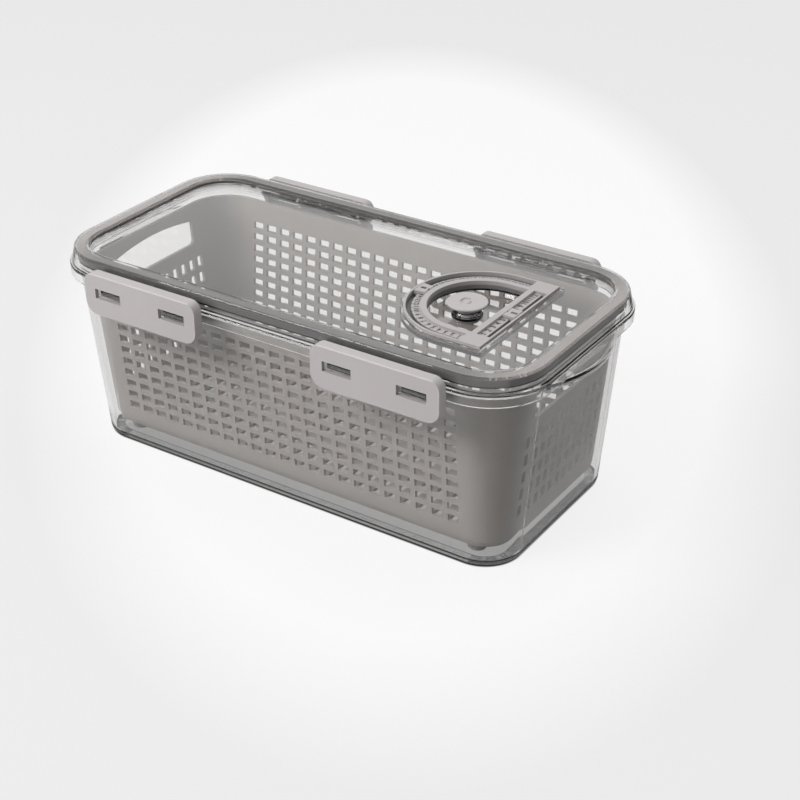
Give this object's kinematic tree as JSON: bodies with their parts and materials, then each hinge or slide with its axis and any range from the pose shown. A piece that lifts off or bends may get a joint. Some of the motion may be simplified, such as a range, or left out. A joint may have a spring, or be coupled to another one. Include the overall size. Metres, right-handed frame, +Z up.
{
  "type": "fridge storage box",
  "caption": "Clear rectangular fridge box with a sealed flip-clip lid, a removable perforated drain basket, a date dial with sliders and a press vent.",
  "frame": {"origin": "middle of the box's footprint, on the surface it stands on", "axes": "+X along the length towards the dial, +Z up, -Y towards the side that faces the viewer"},
  "size_m": [0.32, 0.17, 0.12],
  "materials": {
    "clear_plastic": "clear, smoky grey",
    "basket_plastic": "satin, mid grey",
    "clip_plastic": "satin, light grey",
    "dial_plastic": "satin, grey",
    "knob_plastic": "satin, light grey",
    "seal_silicone": "matt, dark grey",
    "clear_silicone": "clear, glossy",
    "vent_silicone": "matt, dark grey"
  },
  "bodies": {
    "container": {"container": "clear_plastic"},
    "basket": {"basket": "basket_plastic"},
    "lid": {"lid": "clear_plastic", "lid_seal": "seal_silicone", "dial_frame": "dial_plastic", "vent_sleeve": "clear_silicone"},
    "front_left_clip": {"front_left_clip": "clip_plastic"},
    "front_right_clip": {"front_right_clip": "clip_plastic"},
    "rear_left_clip": {"rear_left_clip": "clip_plastic"},
    "rear_right_clip": {"rear_right_clip": "clip_plastic"},
    "date_slider": {"date_slider": "dial_plastic"},
    "month_slider": {"month_slider": "dial_plastic"},
    "vent_knob": {"vent_knob": "knob_plastic", "vent_valve": "vent_silicone"}
  },
  "joints": [
    {"name": "lid_lift", "type": "slide", "parent": "container", "child": "lid", "axis": [0, 0, 1], "range_m": [0, 0.24]},
    {"name": "basket_lift", "type": "slide", "parent": "container", "child": "basket", "axis": [0, 0, 1], "range_m": [0, 0.12]},
    {"name": "front_left_clip_hinge", "type": "hinge", "parent": "lid", "child": "front_left_clip", "pos_m": [-0.077, -0.0785, 0.1159], "axis": [-1, 0, 0], "range_deg": [0, 100]},
    {"name": "front_right_clip_hinge", "type": "hinge", "parent": "lid", "child": "front_right_clip", "pos_m": [0.077, -0.0785, 0.1159], "axis": [-1, 0, 0], "range_deg": [0, 100]},
    {"name": "rear_left_clip_hinge", "type": "hinge", "parent": "lid", "child": "rear_left_clip", "pos_m": [-0.077, 0.0785, 0.1159], "axis": [1, 0, 0], "range_deg": [0, 100]},
    {"name": "rear_right_clip_hinge", "type": "hinge", "parent": "lid", "child": "rear_right_clip", "pos_m": [0.077, 0.0785, 0.1159], "axis": [1, 0, 0], "range_deg": [0, 100]},
    {"name": "date_slide", "type": "hinge", "parent": "lid", "child": "date_slider", "pos_m": [0.08897, 0, 0.1175], "axis": [0, 0, 1], "range_deg": [-82, 82]},
    {"name": "month_slide", "type": "slide", "parent": "lid", "child": "month_slider", "axis": [0, 1, 0], "range_m": [-0.025, 0.025]},
    {"name": "vent_press", "type": "slide", "parent": "lid", "child": "vent_knob", "axis": [0, 0, -1], "range_m": [0, 0.002], "stiffness_N_per_m": 300, "springref_m": -0.0005}
  ],
  "couplings": [
    {"joint": "basket_lift", "follows": "lid_lift", "ratio": 0.5}
  ]
}
